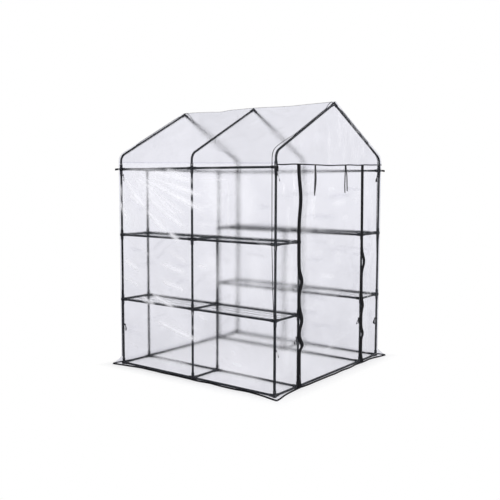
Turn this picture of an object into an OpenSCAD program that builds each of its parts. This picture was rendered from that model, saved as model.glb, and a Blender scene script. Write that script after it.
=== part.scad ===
// Walk-in greenhouse: a tube frame with wire shelves under a clear film cover with a zipped door.
// Millimetres. The origin is on the ground at the middle, the door faces -Y and +Z is up.

/* [Frame] */
// Width between the centres of the outer posts
frame_width = 1410; // [1200:10:2000]
// Depth between the centres of the front and back posts
frame_depth = 1410; // [1200:10:2000]
// Height from one level of rails to the next
tier_height = 490; // [400:5:600]
// Distance between the outer and inner posts
shelf_depth = 270; // [200:5:350]
// Straight rise of each rafter above the eaves rail
leg_rise = 55; // [50:1:90]
// Height of the ridge above the corner of the rafter's bend
roof_rise = 360; // [280:5:480]

/* [Tubes] */
// Outside diameter of every frame tube
tube_d = 16; // [14:0.5:20]
// Wall thickness of the tubes
tube_wall = 0.6; // [0.5:0.1:1.2]
// Centre-line radius of the rafter bends
bend_radius = 65; // [50:1:80]

/* [Connectors] */
// Plastic thickness around a seated tube
sleeve_wall = 2.5; // [2:0.1:3.5]
// Length of tube inside each sleeve
tube_seat = 24; // [16:1:30]
// Radial play of a tube in its sleeve
seat_clearance = 0.15; // [0.1:0.05:0.3]

/* [Shelves] */
// Thickness of the shelf wires
wire_d = 3; // [2:0.5:4]
// Number of wires along each shelf
long_wires = 5; // [4:1:10]
// Number of wires across each shelf
cross_wires = 16; // [8:1:22]

/* [Cover] */
// Thickness of the film
film_thickness = 1; // [0.8:0.1:2]
// Play between the connectors and the film
cover_gap = 0.3; // [0.2:0.1:2]
// Height of the flared skirt at the foot of the cover
skirt_rise = 60; // [40:5:120]
// Distance the skirt spreads outwards on the ground
skirt_reach = 30; // [10:1:60]
// Width of the seams that join the end walls to the sides and the roof
corner_seam_width = 5; // [3:1:12]
// Distance of those seams behind the end walls
corner_seam_setback = 33; // [10:1:60]
// Thickness of the bindings and zip tapes
binding_thickness = 2; // [1:0.5:3]
// Height of the binding along the hem
hem_height = 12; // [8:1:20]

/* [Door] */
// Width of each zip tape
zip_width = 42; // [20:1:60]
// Distance of the left roll-up straps from the middle
left_strap_x = 255; // [120:5:300]
// Distance of the right roll-up straps from the middle
right_strap_x = 160; // [120:5:300]
// Width of the roll-up straps
strap_width = 18; // [12:1:25]
// Length of the straps outside the door
outer_strap_length = 185; // [120:5:260]
// Length of the straps inside the door
inner_strap_length = 215; // [120:5:260]

/* [Trim] */
// Outside radius of the guy loops at the eaves corners
loop_r = 13; // [8:1:18]
// Width of the webbing in the guy loops
loop_width = 12; // [8:1:18]
// Height of the lower ties on the corner posts
corner_tie_z = 300; // [120:10:400]
// Height of the ties on the posts beside the door
door_tie_z = 340; // [120:10:400]

/* [Hidden] */
$fn = 48;
// Radius of the tubes and of the sleeves around them
tube_r = tube_d / 2;
sleeve_r = tube_r + sleeve_wall;
// Plastic between a seated tube's end and the tube that crosses its line
stop_wall = 4;
// Distance from a connector's centre to the end of a seated tube, and to the sleeve's mouth
tube_end = tube_r + stop_wall;
sleeve_reach = tube_end + tube_seat;
// Half the side of a connector's hub, and the ball that rounds its corners
hub_edge = 0.5;
hub_half = sleeve_r + hub_edge;
hub_ball = hub_half * 1.45;
// Post lines
outer_x = frame_width / 2;
inner_x = outer_x - shelf_depth;
front_y = -frame_depth / 2;
frame_ys = [front_y, 0, -front_y];
bay = frame_depth / 2;
// Heights of the rails
ground_z = hub_half;
lower_z = ground_z + tier_height;
upper_z = lower_z + tier_height;
eave_z = upper_z + tier_height;
// Roof pitch, and the rafter's bend between its leg and its slope
slope_angle = atan(roof_rise / outer_x);
bend_angle = 90 - slope_angle;
bend_tangent = bend_radius * tan(bend_angle / 2);
bend_z = eave_z + leg_rise;
ridge_z = bend_z + bend_tangent + roof_rise;
slope_run = outer_x / cos(slope_angle) - bend_tangent - tube_end;
bend_steps = 8;
// Distance of the film's two faces from the post lines
cover_in = hub_half + cover_gap;
cover_out = cover_in + film_thickness;
trim_out = cover_out + binding_thickness;
// Faces of the front film
front_in = front_y - cover_in;
front_out = front_y - cover_out;
// Height of the seam between the walls and the roof, below the bend of the rafters
seam_drop = 10;
seam_z = bend_z - seam_drop;
seam_half = 4;
// Gap between the film edges under a zip, and at the corners of the skirt
zip_gap = 6;
corner_slit = 0.5;
zip_top = seam_z - seam_half;
// Play between the hem's binding and the zips
hem_play = 0.5;
// Zip sliders, their height above the skirt, and the pulls that hang from them
slider_width = 10;
slider_depth = 4;
slider_length = 14;
slider_rise = 18;
slider_z = skirt_rise + slider_rise;
pull_width = 8;
pull_thickness = 1.5;
pull_length = 20;
pull_drop = 16;
// Shelf panels rest on the sleeves of the rails, with play at each end and an overlap on each side
shelf_play = 2;
shelf_overlap = 4;
shelf_length = bay - 2 * (hub_half + shelf_play);
shelf_width = shelf_depth + 2 * shelf_overlap;
// Ties and loops
tie_play = 0.1;
tie_band = 12;
tie_thickness = 1.5;
tie_tail = 52;
tail_width = 9;
tail_splay = 14;
knot_r = 4.5;
loop_thickness = 2;
loop_gap = 0.1;
tie_drop = 14;
high_tie_z = eave_z - sleeve_reach - tie_drop;
// Overshoot of a cut past the face that it opens
cut_over = 1;
// Colours
tube_colour = [0.17, 0.18, 0.18];
plastic_colour = [0.11, 0.12, 0.13];
wire_colour = [0.23, 0.25, 0.26];
film_colour = [0.86, 0.86, 0.90, 0.35];
trim_colour = [0.08, 0.08, 0.09];

// Sub-part to draw, or all of them

// Turn that points +Z along a connector's arm
function arm_turn(arm) =
    arm == "+x" ? [0, 90, 0]
    : arm == "-x" ? [0, -90, 0]
    : arm == "+y" ? [-90, 0, 0]
    : arm == "-y" ? [90, 0, 0]
    : arm == "-z" ? [180, 0, 0]
    : [0, 0, 0];

// Arms along the rails at one of the three frames: the end frames have one rail, the middle has two
function rail_arms(y) = y < 0 ? ["+y"] : y > 0 ? ["-y"] : ["+y", "-y"];

// Arm that points from a side's outer post to its inner post, and the other way
function inward(side) = side < 0 ? "+x" : "-x";
function outward(side) = side < 0 ? "-x" : "+x";

// Roof line on the right, off outside the rafter's centre line, from the seam to the ridge
function roof_line(off) = concat(
    [[outer_x + off, seam_z]],
    [for (i = [0:bend_steps]) bend_point(off, bend_angle * i / bend_steps)],
    [[0, ridge_z + off / cos(slope_angle)]]);
function bend_point(off, turn) =
    [outer_x - bend_radius + (bend_radius + off) * cos(turn), bend_z + (bend_radius + off) * sin(turn)];

// The same line on the left, from below the ridge down to the seam
function roof_return(off) =
    let (line = roof_line(off)) [for (i = [len(line) - 2:-1:0]) [-line[i][0], line[i][1]]];

// Outline of an end wall, from its right foot over the ridge to its left foot
function end_line(off, low) =
    concat([[outer_x + off, low]], roof_line(off), roof_return(off), [[-outer_x - off, low]]);
function reversed(points) = [for (i = [len(points) - 1:-1:0]) points[i]];

// Spread of the skirt at a height
function flare(z) = skirt_reach * (1 - z / skirt_rise);
function band_x(end, reach) =
    end == "left" ? corner_slit - reach : end == "right" ? reach - corner_slit : end;

module hollow_tube(length) {
    difference() {
        cylinder(d = tube_d, h = length);
        translate([0, 0, -cut_over])
            cylinder(d = tube_d - 2 * tube_wall, h = length + 2 * cut_over);
    }
}

// Tube between two connectors whose centres are a span apart
module tube_between(start, arm, span) {
    translate(start)
        rotate(arm_turn(arm))
            translate([0, 0, tube_end])
                hollow_tube(span - 2 * tube_end);
}

module connector(centre, arms) {
    translate(centre)
        difference() {
            union() {
                intersection() {
                    cube(2 * hub_half, center = true);
                    sphere(r = hub_ball);
                }
                for (arm = arms)
                    rotate(arm_turn(arm))
                        translate([0, 0, hub_half - cut_over])
                            cylinder(r = sleeve_r, h = sleeve_reach - hub_half + cut_over);
            }
            for (arm = arms)
                rotate(arm_turn(arm))
                    translate([0, 0, tube_end])
                        cylinder(r = tube_r + seat_clearance, h = tube_seat + cut_over);
        }
}

// Three posts in line, each in lengths between the levels
module post_row(x, low, count, ys) {
    for (y = ys)
        for (i = [0:count - 1])
            tube_between([x, y, low + i * tier_height], "+z", tier_height);
}

// Rails and cross tubes of one side at one level
module side_rails(side, z) {
    for (x = [outer_x, inner_x])
        for (y = [front_y, 0])
            tube_between([side * x, y, z], "+y", bay);
    for (y = frame_ys)
        tube_between([side * outer_x, y, z], inward(side), shelf_depth);
}

// Leg, bend and slope of the right rafter, at a given diameter
module rafter_rod(d, over) {
    translate([outer_x, 0, eave_z + tube_end - over])
        cylinder(d = d, h = leg_rise - tube_end + over);
    translate([outer_x - bend_radius, 0, bend_z]) {
        rotate([90, 0, 0])
            rotate_extrude(angle = bend_angle)
                translate([bend_radius, 0])
                    circle(d = d);
        rotate([0, -bend_angle, 0])
            translate([bend_radius, 0, 0])
                cylinder(d = d, h = slope_run + over);
    }
}

module rafter() {
    difference() {
        rafter_rod(tube_d, 0);
        rafter_rod(tube_d - 2 * tube_wall, cut_over);
    }
}

module arch(y) {
    translate([0, y, 0]) {
        rafter();
        mirror([1, 0, 0])
            rafter();
    }
}

// Two sleeves that meet at the ridge, each cut off at the middle
module ridge_connector() {
    difference() {
        for (side = [-1, 1])
            intersection() {
                rotate([0, side * (90 + slope_angle), 0])
                    translate([0, 0, -sleeve_r])
                        cylinder(r = sleeve_r, h = sleeve_reach + sleeve_r);
                translate([side * sleeve_reach, 0, 0])
                    cube(2 * sleeve_reach, center = true);
            }
        for (side = [-1, 1])
            rotate([0, side * (90 + slope_angle), 0])
                translate([0, 0, tube_end])
                    cylinder(r = tube_r + seat_clearance, h = tube_seat + cut_over);
    }
}

// Flat grid of wires
module wire_shelf() {
    for (i = [0:long_wires - 1])
        translate([(shelf_width - wire_d) * (i / (long_wires - 1) - 0.5), 0, wire_d / 2])
            cube([wire_d, shelf_length, wire_d], center = true);
    for (i = [0:cross_wires - 1])
        translate([0, (shelf_length - wire_d) * (i / (cross_wires - 1) - 0.5), wire_d / 2])
            cube([shelf_width, wire_d, wire_d], center = true);
}

module shelf_pair(side, level) {
    color(wire_colour)
        for (y = [-bay / 2, bay / 2])
            translate([side * (outer_x - shelf_depth / 2), y, level + sleeve_r])
                wire_shelf();
}

// Upright sheet drawn in XZ, with its far face at y
module upright(y, thickness) {
    translate([0, y, 0])
        rotate([90, 0, 0])
            linear_extrude(thickness)
                children();
}

module side_wall(side) {
    color(film_colour)
        translate([side * (outer_x + cover_in + film_thickness / 2), 0, (skirt_rise + seam_z) / 2])
            cube([film_thickness, frame_depth + 2 * cover_in, seam_z - skirt_rise], center = true);
}

module roof_half() {
    color(film_colour)
        upright(-front_in, frame_depth + 2 * cover_in)
            polygon(concat(roof_line(cover_in), reversed(roof_line(cover_out))));
}

// Front sheet between two distances from the middle
module front_panel(from, to) {
    color(film_colour)
        upright(front_in, film_thickness)
            translate([from, skirt_rise])
                square([to - from, seam_z - skirt_rise]);
}

// Strip of the skirt that runs along X in front of half_out; an end is an X position or a mitred corner
module skirt_band(half_run, half_out, ends, z_low, z_high, off, thick) {
    section = [[off + thick, z_high], [off, z_high], [off, z_low], [off + thick, z_low]];
    polyhedron(
        points = [
            for (end = ends)
                for (c = section)
                    let (reach = c[0] + flare(c[1]))
                        [band_x(end, half_run + reach), -half_out - reach, c[1]]
        ],
        faces = [[3, 2, 1, 0], [4, 5, 6, 7], [0, 1, 5, 4], [1, 2, 6, 5], [2, 3, 7, 6], [3, 0, 4, 7]]);
}

// The strip on every side, left open by clear on each side of the zips
module skirt_bands(z_low, z_high, off, thick, clear) {
    for (turn = [-90, 90])
        rotate([0, 0, turn])
            skirt_band(-front_y, outer_x, ["left", "right"], z_low, z_high, off, thick);
    rotate([0, 0, 180])
        skirt_band(outer_x, -front_y, ["left", "right"], z_low, z_high, off, thick);
    for (ends = [["left", -inner_x - clear], [clear - inner_x, inner_x - clear], [inner_x + clear, "right"]])
        skirt_band(outer_x, -front_y, ends, z_low, z_high, off, thick);
}

// Zip tape down the front and over the skirt
module door_zip(x) {
    color(trim_colour)
        translate([x, 0, 0])
            rotate([90, 0, 90])
                linear_extrude(zip_width, center = true)
                    polygon([
                        [front_out, zip_top],
                        [front_out, skirt_rise],
                        [front_out - skirt_reach, 0],
                        [front_out - skirt_reach - binding_thickness, 0],
                        [front_out - binding_thickness, skirt_rise],
                        [front_out - binding_thickness, zip_top]
                    ]);
}

// Seam over the side walls and the roof, with its far edge at y
module corner_seam(y) {
    color(trim_colour)
        upright(y, corner_seam_width)
            polygon(concat(end_line(trim_out, skirt_rise), reversed(end_line(cover_out, skirt_rise))));
}

// Webbing loop that stands out level from a corner along +X
module guy_loop() {
    translate([loop_r, 0, -loop_width / 2])
        linear_extrude(loop_width)
            difference() {
                circle(r = loop_r);
                circle(r = loop_r - loop_thickness);
            }
}

// Ribbon around a post, knotted on its +X side, with two hanging tails
module frame_tie() {
    difference() {
        union() {
            cylinder(r = tube_r + tie_play + tie_thickness, h = tie_band);
            translate([tube_r + knot_r, 0, tie_band / 2])
                sphere(r = knot_r);
            for (turn = [-tail_splay, tail_splay])
                translate([tube_r + knot_r, 0, tie_band / 2])
                    rotate([turn, 0, 0])
                        translate([0, 0, -tie_tail / 2])
                            cube([tie_thickness, tail_width, tie_tail], center = true);
        }
        translate([0, 0, -cut_over])
            cylinder(r = tube_r + tie_play, h = tie_band + 2 * cut_over);
    }
}

module left_outer_posts() {
    color(tube_colour)
        post_row(-outer_x, ground_z, 3, frame_ys);
}

module right_outer_posts() {
    color(tube_colour)
        post_row(outer_x, ground_z, 3, frame_ys);
}

// The inner posts stop at the upper shelf, except at the back
module left_inner_posts() {
    color(tube_colour) {
        post_row(-inner_x, ground_z, 2, frame_ys);
        post_row(-inner_x, upper_z, 1, [-front_y]);
    }
}

module right_inner_posts() {
    color(tube_colour) {
        post_row(inner_x, ground_z, 2, frame_ys);
        post_row(inner_x, upper_z, 1, [-front_y]);
    }
}

module left_ground_rails() {
    color(tube_colour)
        side_rails(-1, ground_z);
}

module right_ground_rails() {
    color(tube_colour)
        side_rails(1, ground_z);
}

module left_lower_rails() {
    color(tube_colour)
        side_rails(-1, lower_z);
}

module right_lower_rails() {
    color(tube_colour)
        side_rails(1, lower_z);
}

module left_upper_rails() {
    color(tube_colour)
        side_rails(-1, upper_z);
}

module right_upper_rails() {
    color(tube_colour)
        side_rails(1, upper_z);
}

module eave_rails() {
    color(tube_colour)
        for (x = [-outer_x, outer_x])
            for (y = [front_y, 0])
                tube_between([x, y, eave_z], "+y", bay);
}

// Three tubes in line across the back between the posts
module back_header_tubes() {
    color(tube_colour) {
        tube_between([-outer_x, -front_y, eave_z], "+x", shelf_depth);
        tube_between([-inner_x, -front_y, eave_z], "+x", 2 * inner_x);
        tube_between([inner_x, -front_y, eave_z], "+x", shelf_depth);
    }
}

// Door sill and the tube across the back of the aisle
module aisle_ground_tubes() {
    color(tube_colour)
        for (y = [front_y, -front_y])
            tube_between([-inner_x, y, ground_z], "+x", 2 * inner_x);
}

module front_arch() {
    color(tube_colour)
        arch(front_y);
}

module middle_arch() {
    color(tube_colour)
        arch(0);
}

module back_arch() {
    color(tube_colour)
        arch(-front_y);
}

module ground_connectors() {
    color(plastic_colour)
        for (side = [-1, 1])
            for (y = frame_ys) {
                connector([side * outer_x, y, ground_z], concat(["+z", inward(side)], rail_arms(y)));
                connector([side * inner_x, y, ground_z],
                    concat(["+z", outward(side)], rail_arms(y), y == 0 ? [] : [inward(side)]));
            }
}

module lower_connectors() {
    color(plastic_colour)
        for (side = [-1, 1])
            for (y = frame_ys) {
                connector([side * outer_x, y, lower_z], concat(["+z", "-z", inward(side)], rail_arms(y)));
                connector([side * inner_x, y, lower_z], concat(["+z", "-z", outward(side)], rail_arms(y)));
            }
}

module upper_connectors() {
    color(plastic_colour)
        for (side = [-1, 1])
            for (y = frame_ys) {
                connector([side * outer_x, y, upper_z], concat(["+z", "-z", inward(side)], rail_arms(y)));
                connector([side * inner_x, y, upper_z],
                    concat(["-z", outward(side)], rail_arms(y), y > 0 ? ["+z"] : []));
            }
}

module eave_connectors() {
    color(plastic_colour)
        for (side = [-1, 1]) {
            for (y = frame_ys)
                connector([side * outer_x, y, eave_z],
                    concat(["+z", "-z"], rail_arms(y), y > 0 ? [inward(side)] : []));
            connector([side * inner_x, -front_y, eave_z], ["-z", "+x", "-x"]);
        }
}

module ridge_connectors() {
    color(plastic_colour)
        for (y = frame_ys)
            translate([0, y, ridge_z])
                ridge_connector();
}

module left_lower_shelves() {
    shelf_pair(-1, lower_z);
}

module right_lower_shelves() {
    shelf_pair(1, lower_z);
}

module left_upper_shelves() {
    shelf_pair(-1, upper_z);
}

module right_upper_shelves() {
    shelf_pair(1, upper_z);
}

module left_wall_film() {
    side_wall(-1);
}

module right_wall_film() {
    side_wall(1);
}

module back_film() {
    color(film_colour)
        upright(-front_out, film_thickness)
            polygon(end_line(cover_out, skirt_rise));
}

module front_gable_film() {
    color(film_colour)
        upright(front_in, film_thickness)
            polygon(concat(roof_line(cover_out), roof_return(cover_out)));
}

module front_left_film() {
    front_panel(-outer_x - cover_out, -inner_x - zip_gap / 2);
}

module front_right_film() {
    front_panel(inner_x + zip_gap / 2, outer_x + cover_out);
}

module door_film() {
    front_panel(zip_gap / 2 - inner_x, inner_x - zip_gap / 2);
}

module left_roof_film() {
    mirror([1, 0, 0])
        roof_half();
}

module right_roof_film() {
    roof_half();
}

module skirt_film() {
    color(film_colour)
        skirt_bands(0, skirt_rise, cover_in, film_thickness, zip_gap / 2);
}

module left_door_zip() {
    door_zip(-inner_x);
}

module right_door_zip() {
    door_zip(inner_x);
}

// Slider and pull at the closed end of each zip
module zip_sliders() {
    color(trim_colour)
        for (x = [-inner_x, inner_x])
            translate([x, front_out - binding_thickness, slider_z]) {
                translate([-slider_width / 2, -slider_depth, 0])
                    cube([slider_width, slider_depth, slider_length]);
                translate([-pull_width / 2, -slider_depth, -pull_drop])
                    cube([pull_width, pull_thickness, pull_length]);
            }
}

module front_binding() {
    corner_seam(front_out + corner_seam_setback + corner_seam_width);
}

module back_binding() {
    corner_seam(-front_out - corner_seam_setback);
}

module header_binding() {
    color(trim_colour)
        upright(front_out, binding_thickness)
            translate([-outer_x - cover_out, seam_z - seam_half])
                square([2 * (outer_x + cover_out), 2 * seam_half]);
}

module hem_binding() {
    color(trim_colour)
        skirt_bands(0, hem_height, cover_out, binding_thickness, zip_width / 2 + hem_play);
}

// Ribbons that hang from the header seam, outside and inside the door
module door_straps() {
    color(trim_colour)
        for (x = [-left_strap_x, right_strap_x]) {
            upright(front_out, tie_thickness)
                translate([x - strap_width / 2, zip_top - outer_strap_length])
                    square([strap_width, outer_strap_length]);
            upright(front_in + tie_thickness, tie_thickness)
                translate([x - strap_width / 2, zip_top - inner_strap_length])
                    square([strap_width, inner_strap_length]);
        }
}

module guy_loops() {
    color(trim_colour)
        for (sx = [-1, 1])
            for (sy = [-1, 1])
                translate([sx * (outer_x + cover_out), sy * (cover_out - front_y), eave_z])
                    rotate([0, 0, atan2(sy, sx)])
                        translate([loop_gap, 0, 0])
                            guy_loop();
}

// Ties on the corner posts and on the posts beside the door
module frame_ties() {
    color(trim_colour) {
        for (sx = [-1, 1])
            for (sy = [-1, 1])
                for (z = [corner_tie_z, high_tie_z])
                    translate([sx * outer_x, sy * front_y, z])
                        rotate([0, 0, atan2(-sy * front_y, -sx * outer_x)])
                            frame_tie();
        for (sx = [-1, 1])
            translate([sx * inner_x, front_y, door_tie_z])
                rotate([0, 0, 90])
                    frame_tie();
    }
}

left_outer_posts();
right_outer_posts();
left_inner_posts();
right_inner_posts();
left_ground_rails();
right_ground_rails();
left_lower_rails();
right_lower_rails();
left_upper_rails();
right_upper_rails();
eave_rails();
back_header_tubes();
aisle_ground_tubes();
front_arch();
middle_arch();
back_arch();
ground_connectors();
lower_connectors();
upper_connectors();
eave_connectors();
ridge_connectors();
left_lower_shelves();
right_lower_shelves();
left_upper_shelves();
right_upper_shelves();
left_wall_film();
right_wall_film();
back_film();
front_gable_film();
front_left_film();
front_right_film();
door_film();
left_roof_film();
right_roof_film();
skirt_film();
left_door_zip();
right_door_zip();
zip_sliders();
front_binding();
back_binding();
header_binding();
hem_binding();
door_straps();
guy_loops();
frame_ties();
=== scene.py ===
import math

import bpy
import numpy as np
from mathutils import Matrix, Vector


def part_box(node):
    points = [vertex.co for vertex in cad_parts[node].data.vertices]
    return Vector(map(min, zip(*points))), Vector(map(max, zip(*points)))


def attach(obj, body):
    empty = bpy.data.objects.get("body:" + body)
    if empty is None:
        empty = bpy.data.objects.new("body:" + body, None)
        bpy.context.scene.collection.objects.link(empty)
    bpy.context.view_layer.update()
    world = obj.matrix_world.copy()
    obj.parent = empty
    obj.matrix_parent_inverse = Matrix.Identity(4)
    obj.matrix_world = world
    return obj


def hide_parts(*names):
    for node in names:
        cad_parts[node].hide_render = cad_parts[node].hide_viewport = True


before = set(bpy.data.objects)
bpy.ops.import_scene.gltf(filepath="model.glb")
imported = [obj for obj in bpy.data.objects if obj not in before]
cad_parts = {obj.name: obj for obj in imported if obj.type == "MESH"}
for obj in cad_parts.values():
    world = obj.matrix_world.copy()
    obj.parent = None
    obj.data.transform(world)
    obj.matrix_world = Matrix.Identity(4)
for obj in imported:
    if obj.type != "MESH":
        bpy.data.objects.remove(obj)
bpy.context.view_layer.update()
print("frame:", len(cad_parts), "CAD nodes")

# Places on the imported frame, in metres
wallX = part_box("right_wall_film")[1].x  # outer face of the side walls
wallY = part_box("back_film")[1].y  # outer face of the end walls
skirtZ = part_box("right_wall_film")[0].z  # where the skirt starts to flare
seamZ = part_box("right_wall_film")[1].z  # seam between the walls and the roof
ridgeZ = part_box("right_roof_film")[1].z
postLow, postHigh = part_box("right_outer_posts")
tubeRadius = (postHigh.x - postLow.x) / 2
postX = postHigh.x - tubeRadius
frameY = postHigh.y - tubeRadius
frameYs = (-frameY, 0.0, frameY)
zipLow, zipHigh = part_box("right_door_zip")
zipX = (zipLow.x + zipHigh.x) / 2
zipTop = zipHigh.z
railNodes = ("left_ground_rails", "left_lower_rails", "left_upper_rails", "eave_rails")
railZs = [sum(corner.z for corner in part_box(name)) / 2 for name in railNodes]
eaveZ = railZs[3]


# Colours and nodes


def linear(hexColour):  # sRGB hex to linear RGBA
    shares = [int(hexColour[i:i + 2], 16) / 255 for i in (1, 3, 5)]
    return (*[s / 12.92 if s <= 0.04045 else ((s + 0.055) / 1.055) ** 2.4 for s in shares], 1.0)


def addNode(tree, kind, inputs=None, out=0, **settings):
    # A node with its settings, values and links. One of its outputs is given back
    made = tree.nodes.new("ShaderNode" + kind)
    for name, value in settings.items():
        setattr(made, name, value)
    for name, value in (inputs or {}).items():
        if isinstance(value, bpy.types.NodeSocket):
            tree.links.new(value, made.inputs[name])
        else:
            made.inputs[name].default_value = value
    return made.outputs[out] if made.outputs else None


def emptyTree(owner):  # the node tree of a material or world, without its first nodes
    owner.use_nodes = True
    owner.node_tree.nodes.clear()
    return owner.node_tree


def newMaterial(name):  # a material and its empty node tree
    material = bpy.data.materials.new(name)
    return material, emptyTree(material)


def addObject(name, data):  # an object in the scene
    made = bpy.data.objects.new(name, data)
    bpy.context.scene.collection.objects.link(made)
    return made


noiseRange = {"From Min": 0.3, "From Max": 0.7}  # the values of a noise texture mostly lie between these
colourRange = {"From Min": 0.35, "From Max": 0.65}  # narrower, so that both colours of a patch show in full


# Camera, light and floor

photoView = dict(
    place=(-4.3463, -3.2564, 1.3733), azimuth=-52.902, elevation=5.346, roll=0.163, lens=50.716,
)

studio = dict(
    background="#ffffff",
    worldLight=0.55,  # strength of the even light on the object
    aim=(0.0, 0.0, 0.9),
    clearLayers=48,  # layers of film that a ray may cross
    lamps=[  # name, place, side in metres, watts
        ("key_lamp", (-4.4, -3.6, 2.8), 3.0, 250.0),
        ("fill_lamp", (3.8, -4.4, 2.6), 3.0, 90.0),
        ("back_lamp", (4.2, 3.2, 2.4), 3.0, 90.0),
    ],
)

floorLook = dict(size=40.0, colour="#f6f6f8", shadowShare=0.6, shadowReach=(0.74, 0.86))


def addCamera(view):
    # The camera's axes from azimuth, elevation and roll, as columns of its matrix
    turn, rise, roll = (math.radians(view[name]) for name in ("azimuth", "elevation", "roll"))
    back = Vector((math.sin(turn) * math.cos(rise), -math.cos(turn) * math.cos(rise), math.sin(rise)))
    level = Vector((math.cos(turn), math.sin(turn), 0.0))
    right = math.cos(roll) * level + math.sin(roll) * back.cross(level)
    up = back.cross(right)
    data = bpy.data.cameras.new("photo_camera")
    data.lens = view["lens"]
    camera = addObject("photo_camera", data)
    axes = Matrix((right, up, back)).transposed().to_4x4()
    camera.matrix_world = Matrix.Translation(view["place"]) @ axes
    bpy.context.scene.camera = camera


def seenRays(tree):  # 1 for camera, glossy and transmission rays, 0 for the rays that light things
    rays = addNode(tree, "LightPath").node.outputs
    seen = rays["Is Camera Ray"]
    for name in ("Is Glossy Ray", "Is Transmission Ray"):
        seen = addNode(tree, "Math", {0: seen, 1: rays[name]}, operation="MAXIMUM")
    return seen


def addStudio(look, ground):
    # World and floor show as white but light the object less, and three soft lamps shape it
    scene = bpy.context.scene
    scene.view_settings.view_transform = "Standard"
    scene.cycles.transparent_max_bounces = look["clearLayers"]
    scene.world = bpy.data.worlds.new("studio")
    tree = emptyTree(scene.world)
    white = linear(look["background"])
    light = addNode(tree, "Background", {"Color": white, "Strength": look["worldLight"]})
    seen = addNode(tree, "Background", {"Color": white, "Strength": 1.0})
    both = addNode(tree, "MixShader", {0: seenRays(tree), 1: light, 2: seen})
    addNode(tree, "OutputWorld", {"Surface": both})
    for name, place, side, watts in look["lamps"]:
        data = bpy.data.lights.new(name, "AREA")
        data.size = side
        data.energy = watts
        lamp = addObject(name, data)
        lamp.location = place
        lamp.rotation_euler = (Vector(look["aim"]) - Vector(place)).to_track_quat("-Z", "Y").to_euler()
        lamp.visible_camera = lamp.visible_transmission = False
    half = ground["size"] / 2
    mesh = bpy.data.meshes.new("floor")
    rim = [(-half, -half, 0), (half, -half, 0), (half, half, 0), (-half, half, 0)]
    mesh.from_pydata(rim, [], [(0, 1, 2, 3)])
    floor = addObject("floor", mesh)
    material, tree = newMaterial("matt_paper")  # white paper that keeps a faint shadow
    paper = addNode(tree, "BsdfDiffuse", {"Color": linear(ground["colour"])})
    glow = addNode(tree, "Emission", {"Color": white, "Strength": 1.0})
    place = addNode(tree, "TexCoord", out="Object")
    apart = addNode(tree, "VectorMath", {0: place}, operation="ABSOLUTE")
    apart = addNode(tree, "SeparateXYZ", {"Vector": apart}).node.outputs
    away = addNode(tree, "Math", {0: apart["X"], 1: apart["Y"]}, operation="MAXIMUM")
    glowShare = addNode(tree, "MapRange", {  # the shadow fades out away from the object
        "Value": away, "From Min": ground["shadowReach"][0], "From Max": ground["shadowReach"][1],
        "To Min": 1 - ground["shadowShare"], "To Max": 1.0})
    share = addNode(tree, "Math", {0: seenRays(tree), 1: glowShare}, operation="MULTIPLY")
    both = addNode(tree, "MixShader", {0: share, 1: paper, 2: glow})
    addNode(tree, "OutputMaterial", {"Surface": both})
    mesh.materials.append(material)


addCamera(photoView)
addStudio(studio, floorLook)
print("studio: camera, world,", len(studio["lamps"]), "lamps and floor")


# Materials

filmLook = dict(
    body="#4a4a52",  # grey of the haze in the film
    tint="#fdfdff",  # lilac cast of what is seen through each face
    highlightTint="#fbfbff",  # colour of the painted highlight along the folds
    roughness=0.11,
    ior=1.53,
    blur=0.105,  # roughness of what passes through, which softens only what is far behind
    cloud=0.24,  # metres across a cloudy patch
    patchSwing=0.3,  # share by which the haze rises and falls from patch to patch
    ripple=0.035,  # metres across the finest ripples
    rippleHeight=0.0008,
    highlightOpacity=0.55,  # opacity of the painted highlight that a fold adds to each face
)


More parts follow.
